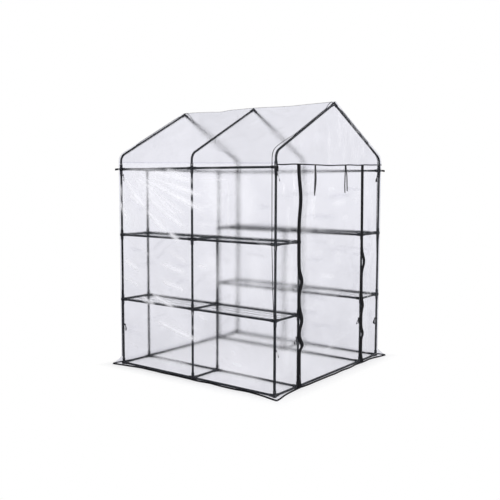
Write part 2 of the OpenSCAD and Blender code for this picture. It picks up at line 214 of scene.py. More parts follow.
def clearFilm(name, hazeAndShade, axis, span):
    # Calendered clear PVC film: nearly see-through, cloudy in soft patches, with a painted highlight white
    # along its folds, and a wet-looking gloss. Its haze, and with it how dark it looks, changes along one
    # axis over a span
    material, tree = newMaterial(name)
    body, white, tint = (linear(filmLook[part]) for part in ("body", "highlightTint", "tint"))
    place = addNode(tree, "TexCoord", out="Object")
    fold = addNode(tree, "Attribute", out="Fac", attribute_name="foldHighlightAndWeld")
    along = addNode(tree, "SeparateXYZ", {"Vector": place}, out=axis)
    level = addNode(tree, "MapRange", {
        "Value": along, "From Min": span[0], "From Max": span[1], "To Min": hazeAndShade[0], "To Max": hazeAndShade[1]})
    cloud = addNode(tree, "TexNoise", {
        "Vector": place, "Scale": 1 / filmLook["cloud"], "Detail": 3.0, "Roughness": 0.55})
    patch = addNode(tree, "MapRange", {
        "Value": cloud, **noiseRange, "To Min": 1 - filmLook["patchSwing"],
        "To Max": 1 + filmLook["patchSwing"]})
    grey = addNode(tree, "Math", {0: level, 1: patch}, operation="MULTIPLY")
    # Painted highlight: along the folds the film turns whiter and less clear, in place of the glare on
    # their ridges; the welded strip under the seam is the film's own white
    paintedHighlight = addNode(tree, "Math", {0: fold, 1: filmLook["highlightOpacity"]}, operation="MULTIPLY")
    alpha = addNode(tree, "Math", {0: paintedHighlight, 1: grey}, operation="ADD")
    whiteShare = addNode(tree, "Math", {0: paintedHighlight, 1: alpha}, operation="DIVIDE")
    colour = addNode(tree, "Mix", {0: whiteShare, 6: body, 7: white}, out=2, data_type="RGBA")
    ripple = addNode(tree, "TexNoise", {"Vector": place, "Scale": 1 / filmLook["ripple"], "Detail": 2.0})
    bump = addNode(tree, "Bump", {"Height": ripple, "Strength": 0.5, "Distance": filmLook["rippleHeight"]})
    skin = addNode(tree, "BsdfPrincipled", {
        "Base Color": colour, "Roughness": filmLook["roughness"], "IOR": filmLook["ior"], "Normal": bump})
    soft = addNode(tree, "BsdfRefraction", {
        "Color": tint, "Roughness": filmLook["blur"], "IOR": filmLook["ior"]})
    clear = addNode(tree, "BsdfTransparent", {"Color": tint})
    lamps = addNode(tree, "LightPath", out="Is Shadow Ray")  # light passes straight through
    through = addNode(tree, "MixShader", {0: lamps, 1: soft, 2: clear})
    film = addNode(tree, "MixShader", {0: alpha, 1: through, 2: skin})
    addNode(tree, "OutputMaterial", {"Surface": film})
    material.surface_render_method = "BLENDED"
    return material


def coated(name, dark, light, patch, grain, grainHeight, gloss, metallic):
    # A hard coat or moulding: two close colours in soft patches, a fine grain in the surface,
    # and gloss that drifts a little
    material, tree = newMaterial(name)
    place = addNode(tree, "TexCoord", out="Object")
    cloud = addNode(tree, "TexNoise", {
        "Vector": place, "Scale": 1 / patch, "Detail": 4.0, "Roughness": 0.6})
    share = addNode(tree, "MapRange", {"Value": cloud, **colourRange})
    colour = addNode(tree, "Mix", {0: share, 6: linear(dark), 7: linear(light)}, out=2, data_type="RGBA")
    rough = addNode(tree, "MapRange", {
        "Value": cloud, **noiseRange, "To Min": gloss[0], "To Max": gloss[1]})
    peel = addNode(tree, "TexNoise", {"Vector": place, "Scale": 1 / grain, "Detail": 2.0})
    bump = addNode(tree, "Bump", {"Height": peel, "Strength": 0.6, "Distance": grainHeight})
    skin = addNode(tree, "BsdfPrincipled", {
        "Base Color": colour, "Roughness": rough, "Metallic": metallic, "Specular IOR Level": 0.25,
        "Normal": bump})
    addNode(tree, "OutputMaterial", {"Surface": skin})
    return material


def woven(name, dark, light, warp, weft, threadHeight, roughness, sheen):
    # Narrow woven goods: threads along and across the tape, from its own UV map in metres, so that
    # the weave follows it
    material, tree = newMaterial(name)
    metres = addNode(tree, "UVMap", uv_map="metres")
    bandTurn = 2 * math.pi / 20  # one period of a wave texture at scale 1
    along, across = (
        addNode(tree, "TexWave", {"Vector": metres, "Scale": bandTurn / pitch, "Distortion": 0.6},
                out=1, bands_direction=direction)
        for direction, pitch in (("X", warp), ("Y", weft)))
    threads = addNode(tree, "Math", {0: along, 1: across}, operation="MULTIPLY")
    colour = addNode(
        tree, "Mix", {0: threads, 6: linear(dark), 7: linear(light)}, out=2, data_type="RGBA")
    bump = addNode(tree, "Bump", {"Height": threads, "Strength": 0.7, "Distance": threadHeight})
    skin = addNode(tree, "BsdfPrincipled", {
        "Base Color": colour, "Roughness": roughness, "Sheen Weight": sheen, "Specular IOR Level": 0.06,
        "Normal": bump})
    addNode(tree, "OutputMaterial", {"Surface": skin})
    return material


# On the walls and the front the haze thickens towards the foot: painted shade, darker low down
sideFilm = clearFilm("clear_pvc_film_sides", hazeAndShade=(0.07, 0.03), axis="Z", span=(0.0, seamZ))
frontFilm = clearFilm("clear_pvc_film_front", hazeAndShade=(0.074, 0.025), axis="Z", span=(0.0, seamZ))
# On the roof the haze thickens towards the back, which is darker there
roofFilm = clearFilm("clear_pvc_film_roof", hazeAndShade=(0.048, 0.07), axis="Y", span=(0.0, wallY))
# Hard coats: name, dark and light colour, metres across a patch and a grain, height of the grain,
# roughness from and to, metallic share
powderCoat, mouldedPlastic, dippedWire, lacqueredZinc, nylonCoil = (coated(*look) for look in (
    # Near-black green grey with a soft orange peel, drawn at 3 mm to show
    ("powder_coated_steel", "#0c0f12", "#181d21", 0.05, 0.003, 0.00008, (0.34, 0.5), 0.0),
    # Blue-black and dull, with a spark-eroded grain drawn at 2 mm
    ("moulded_polypropylene", "#0a0c10", "#15191e", 0.03, 0.002, 0.0001, (0.42, 0.6), 0.0),
    # Smooth, slightly lumpy green-grey skin
    ("pvc_dipped_wire", "#23292b", "#363e41", 0.02, 0.006, 0.0002, (0.3, 0.42), 0.0),
    # Dark casting with lighter rubbed patches
    ("lacquered_zinc", "#1b1b1e", "#4b4d52", 0.006, 0.0012, 0.00006, (0.25, 0.4), 0.6),
    # Smooth black monofilament
    ("nylon_coil", "#0e0e11", "#1b1b20", 0.01, 0.002, 0.00005, (0.3, 0.42), 0.0)))
# Woven goods: name, dark and light colour, metres from thread to thread along and across, height of a
# thread, roughness, sheen
bindingWeave, zipWeave, webbingWeave, ribbonWeave = (woven(*look) for look in (
    # Flat black plain weave, threads drawn at 2 mm
    ("polyester_binding_tape", "#050508", "#131318", 0.002, 0.002, 0.0002, 0.75, 0.02),
    # Black ribs along the zip, drawn at 2.5 mm
    ("knitted_zip_tape", "#040407", "#101016", 0.0025, 0.004, 0.0002, 0.8, 0.02),
    # Coarse ribs with a slight sheen
    ("polypropylene_webbing", "#09090c", "#1c1c22", 0.003, 0.0022, 0.0003, 0.6, 0.08),
    # Fine threads and a soft shine
    ("satin_ribbon", "#0b0b0f", "#1e1e25", 0.0015, 0.003, 0.0001, 0.5, 0.1)))
print("materials:", len(bpy.data.materials))


# Shapes


def smoothStep(share):  # from 0 to 1 with level ends: three squares less two cubes
    share = np.clip(share, 0, 1)
    return share * share * (3 - 2 * share)


def bell(distance, width):  # 1 at no distance, falling as the exponential of its square
    return np.exp(-(distance / width) ** 2)


def xyz(x, y, z):  # coordinates joined as points
    return np.stack(np.broadcast_arrays(x, y, z), axis=-1)


def runAlong(line):  # distance of each point from the start of a line
    return np.r_[0, np.cumsum(np.linalg.norm(np.diff(line, axis=0), axis=1))]


def spaced(start, stop, step):  # even places, about a step apart
    return np.linspace(start, stop, max(2, round(abs(stop - start) / step) + 1))


waveSum = dict(count=9, gain=2.4)  # the gain brings the mean of the sines back to about 1


def softWaves(a, b, seed, longest):
    # Mean of a few sines in seeded directions, from a third of the longest length up to it
    draw = np.random.default_rng(seed)
    shape = (waveSum["count"],) + (1,) * np.ndim(a)
    turn = draw.uniform(0, math.pi, shape)
    pace = 2 * math.pi / draw.uniform(longest / 3, longest, shape)
    start = draw.uniform(0, 2 * math.pi, shape)
    return np.sin((a * np.cos(turn) + b * np.sin(turn)) * pace + start).mean(0) * waveSum["gain"]


def clearOf(values, places, reach):
    # 0 at each of the places, rising to 1 at the reach
    nearest = np.abs(values[..., None] - places).min(-1)
    return smoothStep(nearest / reach)


foldForm = dict(
    taper=0.3,  # share of a fold's length over which each end fades
    troughAside=2.0, troughWidth=1.3, troughDepth=0.4,  # in widths and heights of the crest
    size=(0.6, 1.3), white=(0.3, 1.0),  # how loose folds differ in size and in the strength of their painted highlight
)


def foldRidges(a, b, folds):
    # Each fold is a crest along a line from (a0, b0) to (a1, b1) with a shallow trough beside it,
    # tapered at its ends
    a0, b0, a1, b1, width, height, white = (column[:, None, None] for column in np.array(folds, float).T)
    length = np.hypot(a1 - a0, b1 - b0)
    along = ((a - a0) * (a1 - a0) + (b - b0) * (b1 - b0)) / length ** 2
    aside = ((a - a0) * (b1 - b0) - (b - b0) * (a1 - a0)) / (length * width)
    taper = smoothStep(np.minimum(along, 1 - along) / foldForm["taper"])
    crest = bell(aside, 1)
    trough = bell(aside - foldForm["troughAside"], foldForm["troughWidth"])
    ridge = height * taper * (crest - foldForm["troughDepth"] * trough)
    # the second value is the painted highlight along each crest, in place of glare on the ridge
    return ridge.sum(0), (white * taper * crest).max(0)


def looseFolds(seed, count, aSpan, bSpan, turnSpan, lengthSpan, width, height, white):
    # Seeded short folds: middle, direction in degrees and length drawn from the spans
    draw = np.random.default_rng(seed)
    a = draw.uniform(*aSpan, count)
    b = draw.uniform(*bSpan, count)
    turn = np.radians(draw.uniform(*turnSpan, count))
    half = draw.uniform(*lengthSpan, count) / 2
    size = draw.uniform(*foldForm["size"], count)
    across, up = half * np.cos(turn), half * np.sin(turn)
    return np.stack([
        a - across, b - up, a + across, b + up,
        width * size, height * size, white * draw.uniform(*foldForm["white"], count)], axis=1)


def panelFolds(panel):
    # Placed folds with the width and height of their group, then the seeded ones
    placed = [
        (*line[:4], group["width"], group["height"], line[4])
        for group in panel.get("placed", ()) for line in group["lines"]]
    return np.vstack([*placed, *(looseFolds(*group) for group in panel["loose"])])


def evenSteps(line, spacing):
    # Points at even distances along a line of points
    run = runAlong(line)
    places = spaced(0, run[-1], spacing)
    return np.stack([np.interp(places, run, column) for column in line.T], axis=1)


def smoothLine(points, count):
    # Catmull-Rom curve through the points
    p = np.asarray(points, float)
    p = np.vstack([2 * p[0] - p[1], p, 2 * p[-1] - p[-2]])
    place = np.linspace(0, len(p) - 3, count)
    i = np.minimum(place.astype(int), len(p) - 4)
    t = (place - i)[:, None]
    a, b, c, d = p[i], p[i + 1], p[i + 2], p[i + 3]
    squared, cubed = 2 * a - 5 * b + 4 * c - d, 3 * b - 3 * c + d - a
    return (2 * b + (c - a) * t + squared * t ** 2 + cubed * t ** 3) / 2


def unit(vectors):  # each divided by its length
    return vectors / np.linalg.norm(vectors, axis=-1, keepdims=True)


def roundSection(radius, count):  # points on a circle
    turn = np.linspace(0, 2 * math.pi, count, endpoint=False)
    return radius * np.stack([np.cos(turn), np.sin(turn)], axis=1)


def tapeSection(tape, count):
    # Flat section with rounded edges: an ellipse whose sines and cosines are square-rooted
    shape = roundSection(1, count)
    return np.sign(shape) * np.abs(shape) ** 0.5 * (tape["width"] / 2, tape["thickness"] / 2)


def sweep(path, section, facing):
    # The section is carried along the path: its first number goes sideways, its second towards facing
    tangent = unit(np.gradient(path, axis=0))
    facing = np.broadcast_to(facing, path.shape)
    out = unit(facing - (facing * tangent).sum(-1, keepdims=True) * tangent)
    side = np.cross(out, tangent)
    return path[:, None] + section[None, :, :1] * side[:, None] + section[None, :, 1:] * out[:, None]


def rods(starts, ends, radius, count=8):
    # Straight round bars, all in one direction, as (bar, end, corner, xyz)
    along = unit(ends[0] - starts[0])
    skew = (0.3, 0.5, 0.8)  # a direction that no bar runs along
    side = unit(np.cross(along, skew))
    ring = roundSection(radius, count) @ np.stack([np.cross(side, along), side])
    return list(np.stack([starts, ends], axis=1)[:, :, None] + ring[None, None])


def turned(points, degrees, place):
    # Turned about the upright axis, then moved
    c, s = math.cos(math.radians(degrees)), math.sin(math.radians(degrees))
    return points @ np.array([[c, s, 0], [-s, c, 0], [0, 0, 1]]) + place


def putPiece(name, patches, material, nodes=(), foldHighlightAndWeld=None, closed=True):
    # Each patch is a grid of points. A closed one is joined round its columns, with a flat face at
    # each end
    points, loops, totals, metres = [], [], [], []
    first = 0
    for patch in patches:
        rows, columns = patch.shape[:2]
        index = first + np.arange(rows * columns).reshape(rows, columns)
        beside = np.roll(index, -1, axis=1) if closed else index[:, 1:]
        here = index if closed else index[:, :-1]
        quads = np.stack([here[:-1], beside[:-1], beside[1:], here[1:]], axis=-1).reshape(-1, 4)
        loops.append(quads.ravel())
        totals.append(np.full(len(quads), 4))
        if closed:
            loops += [index[0][::-1], index[-1]]
            totals.append(np.array([columns, columns]))
        down = runAlong(patch[:, columns // 2])
        over = runAlong(patch[rows // 2])
        metres.append(np.stack(np.meshgrid(over, down), axis=-1).reshape(-1, 2))
        points.append(patch.reshape(-1, 3))
        first += rows * columns
    loops, totals = np.concatenate(loops), np.concatenate(totals)
    mesh = bpy.data.meshes.new(name)
    mesh.vertices.add(first)
    mesh.vertices.foreach_set("co", np.concatenate(points).astype(np.float32).ravel())
    mesh.loops.add(len(loops))
    mesh.loops.foreach_set("vertex_index", loops.astype(np.int32))
    mesh.polygons.add(len(totals))
    mesh.polygons.foreach_set("loop_start", np.r_[0, np.cumsum(totals)[:-1]].astype(np.int32))
    mesh.polygons.foreach_set("loop_total", totals.astype(np.int32))
    mesh.polygons.foreach_set("use_smooth", totals == 4)  # not the flat ends
    mesh.update(calc_edges=True)
    layer = mesh.uv_layers.new(name="metres")
    layer.data.foreach_set("uv", np.concatenate(metres)[loops].astype(np.float32).ravel())
    if not closed:  # the cut edge stays crisp when the sheet gets its thickness
        edgeOfLoop = np.empty(len(loops), np.int32)
        mesh.loops.foreach_get("edge_index", edgeOfLoop)
        sharp = mesh.attributes.new("sharp_edge", "BOOLEAN", "EDGE")
        sharp.data.foreach_set("value", np.bincount(edgeOfLoop, minlength=len(mesh.edges)) == 1)
    # painted highlight along the folds, with the welded strip's own white
    if foldHighlightAndWeld is not None:
        shade = mesh.attributes.new("foldHighlightAndWeld", "FLOAT", "POINT")
        shade.data.foreach_set("value", np.clip(foldHighlightAndWeld, 0, 1).astype(np.float32).ravel())
    mesh.materials.append(material)
    piece = addObject(name, mesh)
    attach(piece, "root")
    if nodes:
        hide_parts(*nodes)
    return piece


# Lines of the cover

roofShape = dict(bendRadius=0.0773, bendZ=1.536, pitch=27.05, step=0.009)


def roofLine(shape):
    # Right half of the roof's outline in x and z: up the leg, round the bend, up the slope
    turn = np.radians(np.linspace(0, 90 - shape["pitch"], 12))
    radius = shape["bendRadius"]
    bend = np.stack([
        wallX - radius * (1 - np.cos(turn)), shape["bendZ"] + radius * np.sin(turn)], axis=1)
    return evenSteps(np.vstack([[(wallX, seamZ)], bend, [(0.0, ridgeZ)]]), shape["step"])


halfRoof = roofLine(roofShape)
wholeRoof = np.vstack([halfRoof * (-1, 1), halfRoof[-2::-1]])  # left seam, ridge, right seam
legRows = round((roofShape["bendZ"] - seamZ) / roofShape["step"]) + 1
gableRoof = wholeRoof[legRows:-legRows]  # without the upright legs at its ends
gableHeight = gableRoof[:, 1] - seamZ

sides = dict(  # half length, neighbours before and after, and where the side's own face stands
    left=(wallY, "front", "back", -wallX), right=(wallY, "front", "back", wallX),
    front=(wallX, "left", "right", -wallY), back=(wallX, "left", "right", wallY),
)

hemShape = dict(
    reach=0.012, wave=0.006, waveLength=0.4, tip=0.04, tipLength=0.1,
    seeds=dict(left=3, right=4, front=8, back=6),
    flare=1.2,  # power that bends the skirt outwards
    mitre=0.2,  # distance from a corner over which the skirt turns out to it
)


def hemReach(side, along):
    # Reach of the hem on the ground: a mean, slow waves and a pulled-out tip at each corner
    wave = softWaves(along, 0 * along, hemShape["seeds"][side], hemShape["waveLength"])
    tip = bell(sides[side][0] - np.abs(along), hemShape["tipLength"])
    return hemShape["reach"] + hemShape["wave"] * wave * (1 - tip) + hemShape["tip"] * tip


def skirtShare(z):  # 0 above the skirt, 1 on the ground
    return np.clip(1 - z / skirtZ, 0, 1) ** hemShape["flare"]


def mitred(side, along, share):
    # Places along a side, pushed out near each corner by the reach of the neighbour's hem there
    half, before, after, face = sides[side]
    ends = np.where(along < 0, hemReach(before, face), hemReach(after, face))
    pull = smoothStep(1 - (half - np.abs(along)) / hemShape["mitre"])
    return along + np.sign(along) * share * ends * pull


seamShape = dict(
    frontDrop=[  # x, drop of the seam over the door
        (-0.717, 0.027), (-0.435, 0.022), (0.0, 0.019), (0.435, 0.004), (0.717, 0.0)],
    fade=0.12,  # height over which the film takes up the drop
    legFade=0.014,  # the same on the roof's upright leg
    lap=0.01, lapDepth=0.0009,  # the walls run up inside the roof
    lean=-0.03,  # sideways pull of the zips at their tops
)


def frontDrop(x):  # the seam over the door hangs lower on the left
    places, drops = np.array(seamShape["frontDrop"]).T
    return np.interp(x, places, drops)


def sideDrop(side, y):  # the left wall's seam falls from the back to the front
    return frontDrop(side * wallX) * np.clip((wallY - y) / (2 * wallY), 0, 1)


def nearSeam(z):  # bell curve round the seam's height
    return bell(z - seamZ, seamShape["fade"])


def zipLean(x, z):  # the cover is pulled aside at the top, most of all along the zips
    return seamShape["lean"] * z / zipTop * np.clip((wallX - np.abs(x)) / (wallX - zipX), 0, 1)


zipShape = dict(
    bulges={  # height, reach outwards and spread of each bulge, in metres
        -1: [(1.28, 0.015, 0.12), (0.73, 0.022, 0.055), (0.47, 0.021, 0.06), (0.3, 0.024, 0.035)],
        1: [(0.79, 0.02, 0.06), (0.45, 0.012, 0.045), (0.23, 0.013, 0.035)],
    },
    fade=0.08,  # how far into the film a bulge runs
)


def zipBulge(x, z):
    # The film beside a zip stands out in rounded bulges that fade into the panels
    total = 0 * (x + z)
    for side, bulges in zipShape["bulges"].items():
        near = bell(x - side * zipX, zipShape["fade"])
        for height, reach, spread in bulges:
            total = total + near * reach * bell(z - height, spread)
    return total


# Cover film

filmCut = dict(
    step=0.0095, fineStep=0.0072, thickness=0.0005,
    foot=0.0006, footRows=8,  # height of the lowest edge, and rows on the skirt
    wallHeight=1.54,  # flat height of a wall, with the flare at its foot
    flareSpare=0.01,  # what the flare adds to the flat height of the back
)


def filmHeights(step):  # close rows on the skirt, then even ones up to the seam
    lower = np.linspace(filmCut["foot"], skirtZ, filmCut["footRows"])[:-1]
    return np.r_[lower, spaced(skirtZ, seamZ, step)]


def slowWaves(panel, a, b):  # the waves that a panel's dictionary describes
    return panel["wave"] * softWaves(a, b, panel["waveSeed"], panel["waveLength"])


def layFilm(name, points, white, material, nodes):
    # A sheet from its grid of points, thickened inwards, which hides the CAD nodes it stands for
    sheet = putPiece(name, [points], material, nodes, foldHighlightAndWeld=white, closed=False)
    solid = sheet.modifiers.new("film", "SOLIDIFY")
    solid.thickness = filmCut["thickness"]
    solid.offset = -1
    return sheet


wallForm = dict(
    postReach=0.16, railReach=0.14, endReach=0.05,  # how far from these the film is held still
    weldDrop=0.007, weldWidth=0.005, weldWhite=0.2,  # welded strip under the eaves seam
)

leftWall = dict(
    wave=0.004, waveSeed=11, waveLength=0.55,
    placed=[dict(width=0.019, height=0.0016, lines=[
        # Fan of long folds from the pulled back corner: from y, z to y, z, strength of the painted
        # highlight
        (0.42, 1.475, -0.06, 1.39, 0.9), (0.48, 1.45, -0.16, 1.275, 0.9), (0.58, 1.46, -0.18, 1.165, 1.0),
        (0.55, 1.425, 0.32, 1.31, 1.0), (0.5, 1.33, 0.0, 1.03, 0.8), (0.49, 1.36, 0.18, 1.2, 0.8),
        (0.32, 1.26, 0.1, 1.135, 0.8), (0.67, 1.41, 0.41, 1.165, 1.0), (0.46, 1.205, 0.21, 1.015, 1.0),
        (0.69, 1.425, 0.56, 1.345, 0.8), (0.735, 1.27, 0.6, 1.07, 1.0), (0.44, 1.28, 0.15, 1.11, 0.8),
        (0.62, 1.3, 0.48, 1.22, 1.0), (0.705, 1.38, 0.655, 1.2, 0.7), (0.27, 1.485, 0.03, 1.435, 0.6),
        (0.35, 1.325, 0.03, 1.14, 0.6), (0.69, 1.2, 0.62, 1.06, 0.8),
    ]), dict(width=0.075, height=0.0, lines=[  # broad bands of painted highlight, with no fold in the film
        (0.6, 1.54, 0.4, 1.16, 0.5), (0.62, 1.48, 0.2, 1.14, 0.6), (0.58, 1.51, 0.04, 1.32, 0.4),
        (0.58, 1.34, 0.16, 1.0, 0.3), (0.62, 1.3, 0.54, 0.98, 0.3), (0.62, 0.86, 0.42, 0.64, 0.2),
        (0.42, 0.68, 0.08, 0.44, 0.15), (0.48, 0.43, -0.02, 0.27, 0.15),
        (-0.14, 1.52, -0.28, 1.1, 0.35), (-0.16, 0.94, -0.24, 0.64, 0.3), (-0.42, 1.5, -0.52, 1.08, 0.25),
        (-0.36, 0.98, -0.4, 0.56, 0.2), (-0.54, 0.98, -0.58, 0.56, 0.2),
    ]), dict(width=0.017, height=0.0014, lines=[  # single folds
        (0.68, 0.815, 0.5, 0.725, 1.0), (0.32, 0.81, 0.03, 0.745, 0.7), (0.31, 0.685, 0.04, 0.62, 0.7),
        (0.7, 0.68, 0.45, 0.6, 0.5), (0.4, 0.575, 0.14, 0.49, 0.9), (0.4, 0.39, -0.11, 0.275, 0.9),
        (0.5, 0.535, 0.34, 0.495, 0.7), (-0.05, 0.815, -0.17, 0.8, 0.5), (0.22, 0.905, 0.02, 0.82, 0.35),
        (0.22, 1.04, 0.1, 0.965, 0.9), (-0.05, 0.47, -0.16, 0.44, 0.4), (0.41, 0.105, -0.02, 0.1, 0.5),
        (-0.22, 0.115, -0.68, 0.09, 0.3),
    ]), dict(width=0.009, height=0.001, lines=[  # straight creases from the carton
        (-0.04, 1.41, -0.36, 1.41, 0.5), (-0.04, 1.33, -0.34, 1.33, 0.35), (-0.02, 1.22, -0.3, 1.22, 0.35),
        (-0.22, 1.45, -0.22, 1.05, 0.35), (-0.33, 1.45, -0.33, 1.02, 0.3), (-0.02, 1.1, -0.36, 1.1, 0.3),
    ])],
    loose=[  # seed, count, spans of y, z, degrees and length, then width, height and painted highlight
        (21, 40, (-0.65, 0.65), (0.15, 1.4), (5, 35), (0.06, 0.22), 0.012, 0.0007, 0.25)],
)


def sideSheet(side, step, panel):
    # Wall as a function of y and z: slow waves between the tubes, folds, and the skirt's flare with
    # mitred corners
    name = "left" if side < 0 else "right"
    along = spaced(-wallY, wallY, step) * side
    y, z = np.meshgrid(along, np.r_[filmHeights(step), seamZ + seamShape["lap"]])
    freeArea = clearOf(y, frameYs, wallForm["postReach"]) * clearOf(
        z, [0.0, *railZs, seamZ], wallForm["railReach"])
    ridge, white = foldRidges(y, z, panelFolds(panel))
    out = slowWaves(panel, y, z) * freeArea + ridge * clearOf(np.abs(y), [wallY], wallForm["endReach"])
    weld = bell(z - seamZ + wallForm["weldDrop"], wallForm["weldWidth"])
    share = skirtShare(z)
    tuck = seamShape["lapDepth"] * smoothStep((z - seamZ) / seamShape["lapDepth"])
    x = side * (wallX + out - tuck + share * hemReach(name, y))
    y = mitred(name, y, share)
    points = xyz(x, y, z - sideDrop(side, y) * nearSeam(z))
    # painted highlight of the folds, joined with the welded strip's own white
    return points, np.maximum(white, wallForm["weldWhite"] * weld)


points, white = sideSheet(-1, filmCut["fineStep"], leftWall)
layFilm("left_wall_sheet", points, white, sideFilm, ["left_wall_film", "skirt_film"])

rightWall = dict(
    wave=0.004, waveSeed=12, waveLength=0.6,
    loose=[  # as for the left wall
        (22, 28, (-0.6, 0.6), (0.15, 1.35), (-8, 8), (0.15, 0.45), 0.014, 0.0008, 0.45),
        (23, 10, (-0.68, -0.4), (0.2, 1.4), (75, 105), (0.1, 0.35), 0.014, 0.0008, 0.3)],
)
points, white = sideSheet(1, filmCut["step"], rightWall)
layFilm("right_wall_sheet", points, white, sideFilm, ["right_wall_film", "skirt_film"])

frontPanels = dict(
    wave=0.0035, waveSeed=14, waveLength=0.5, zipGap=0.003,
    zipReach=0.12, seamReach=0.14, edgeReach=0.04,  # as for the walls
    placed=[dict(width=0.06, height=0.0, lines=[  # broad bands of painted highlight, with no fold in the film: from x, z to x, z, strength
        (-0.57, 0.98, -0.57, 0.52, 0.3), (-0.57, 0.47, -0.57, 0.08, 0.2), (-0.37, 1.5, -0.37, 0.6, 0.2)])],
    loose=[  # as for the left wall, with x in place of y
        (31, 14, (-0.42, -0.24), (1.05, 1.46), (84, 96), (0.15, 0.4), 0.014, 0.0007, 0.25),
        (32, 20, (-0.3, 0.4), (0.2, 1.35), (-12, 12), (0.1, 0.3), 0.016, 0.0007, 0.3),
        (33, 14, (0.46, 0.68), (0.15, 1.46), (82, 98), (0.15, 0.45), 0.012, 0.0008, 0.4),
        (34, 8, (-0.68, -0.47), (0.15, 1.46), (80, 100), (0.1, 0.3), 0.012, 0.0007, 0.3)],
)


def frontOut(x, z):
    # How far the front stands out: the zips' bulges, and slow waves between zips, corners, foot and seam
    freeArea = clearOf(x, [-wallX, -zipX, zipX, wallX], frontPanels["zipReach"]) * clearOf(
        z, [0.0, seamZ], frontPanels["seamReach"])
    return zipBulge(x, z) + freeArea * slowWaves(frontPanels, x, z)


def frontSheet(start, stop):
    # Front panel as a function of x and z, with the skirt's flare and a mitred corner at a side wall
    x, z = np.meshgrid(spaced(start, stop, filmCut["step"]), filmHeights(filmCut["step"]))
    ridge, white = foldRidges(x, z, panelFolds(frontPanels))
    share = skirtShare(z)
    y = (-wallY - frontOut(x, z) - ridge * clearOf(x, [start, stop], frontPanels["edgeReach"])
         - share * hemReach("front", x))
    across = mitred("front", x, share) + zipLean(x, z)
    return xyz(across, y, z - frontDrop(x) * nearSeam(z)), white


zipGap = frontPanels["zipGap"]
for name, node, start, stop, carrier in (
        ("front_left_sheet", "front_left_film", -wallX, -zipX - zipGap, "left_outer_posts"),
        ("door_sheet", "door_film", zipGap - zipX, zipX - zipGap, "front_arch"),
        ("front_right_sheet", "front_right_film", zipX + zipGap, wallX, "right_outer_posts")):
    points, white = frontSheet(start, stop)
    layFilm(name, points, white, frontFilm, [node, "skirt_film"])

gable = dict(
    wave=0.003, waveSeed=15, waveLength=0.4, rows=46, edgeReach=0.08,
    loose=[  # as for the front
        (41, 12, (-0.35, 0.45), (1.56, 1.82), (86, 94), (0.18, 0.35), 0.022, 0.0006, 0.15),
        (42, 8, (-0.55, 0.55), (1.55, 1.7), (10, 40), (0.08, 0.2), 0.016, 0.0006, 0.12)],
)
# Front gable as a function of x and a share of the height: columns go from the seam to the roof's outline
share = np.linspace(0, 1, gable["rows"])[:, None]
x = np.broadcast_to(gableRoof[:, 0], (gable["rows"], len(gableRoof)))
z = seamZ + share * gableHeight
ridge, white = foldRidges(x, z, panelFolds(gable))
inside = smoothStep(np.minimum(share, 1 - share) * gableHeight / gable["edgeReach"])
out = inside * (slowWaves(gable, x, z) + ridge)
points = xyz(x, -wallY - out, z - frontDrop(x) * nearSeam(z))
layFilm("front_gable_sheet", points, white, roofFilm, ["front_gable_film"])

backWall = dict(
    wave=0.004, waveSeed=16, waveLength=0.6, postReach=0.12, railReach=0.12, roofReach=0.1,
    loose=[  # as for the front
        (43, 30, (-0.6, 0.6), (0.15, 1.45), (-35, 35), (0.1, 0.35), 0.015, 0.0008, 0.3),
        (44, 12, (-0.5, 0.5), (1.55, 1.8), (60, 120), (0.1, 0.25), 0.02, 0.0006, 0.12)],
)
# The back is the gable's grid with a wall's rows below it, seen from outside
lowZ = filmHeights(filmCut["step"])[:-1, None]
lowX = np.broadcast_to(gableRoof[:, 0], (len(lowZ), len(gableRoof)))
x, z = np.vstack([lowX, x])[:, ::-1], np.vstack([lowZ + 0 * lowX, z])[:, ::-1]
ridge, white = foldRidges(x, z, panelFolds(backWall))
freeArea = (
    clearOf(x, [-postX, -zipX, zipX, postX], backWall["postReach"])
    * clearOf(z, [0.0, *railZs], backWall["railReach"])
    * smoothStep((gableRoof[::-1, 1] - z) / backWall["roofReach"]))
out = freeArea * (slowWaves(backWall, x, z) + ridge)
share = skirtShare(z)
points = xyz(mitred("back", x, share), wallY + out + share * hemReach("back", x), z)
layFilm("back_sheet", points, white, sideFilm, ["back_film", "skirt_film"])

roofSheet = dict(
    sag=0.007, wave=0.003, waveSeed=17, waveLength=0.5,
    seamReach=0.12, endReach=0.05,  # as for the walls
    foldSeeds=(51, 52), foldCount=22,
    foldSpan=(0.15, 0.8),  # where the folds of a slope lie, up from its seam
    folds=((-0.65, 0.65), (-60, 60), (0.1, 0.3), 0.02, 0.0007, 0.08),  # the rest as for the left wall
)
# Roof as a function of the way over it and y: it sags and waves between the arches
roofRun = runAlong(wholeRoof)
lowest, highest = roofSheet["foldSpan"]
slopes = ((lowest, highest), (roofRun[-1] - highest, roofRun[-1] - lowest))
roofFolds = np.vstack([
    looseFolds(seed, roofSheet["foldCount"], span, *roofSheet["folds"])
    for seed, span in zip(roofSheet["foldSeeds"], slopes)])
run, y = np.meshgrid(roofRun, spaced(wallY, -wallY, filmCut["step"]), indexing="ij")
slope = unit(np.gradient(wholeRoof, axis=0))
outward = xyz(-slope[:, 1], 0, slope[:, 0])[:, None]
between = clearOf(y, frameYs, frameY / 2) * smoothStep(
    np.minimum(run, roofRun[-1] - run) / roofSheet["seamReach"])
ridge, white = foldRidges(run, y, roofFolds)
lift = between * (slowWaves(roofSheet, run, y) - roofSheet["sag"]) + ridge * clearOf(
    np.abs(y), [wallY], roofSheet["endReach"])
leg = smoothStep(1 - run / seamShape["legFade"])  # 1 at the left seam
flatRoof = xyz(wholeRoof[:, :1], y, wholeRoof[:, 1:] - leg * sideDrop(-1, y))
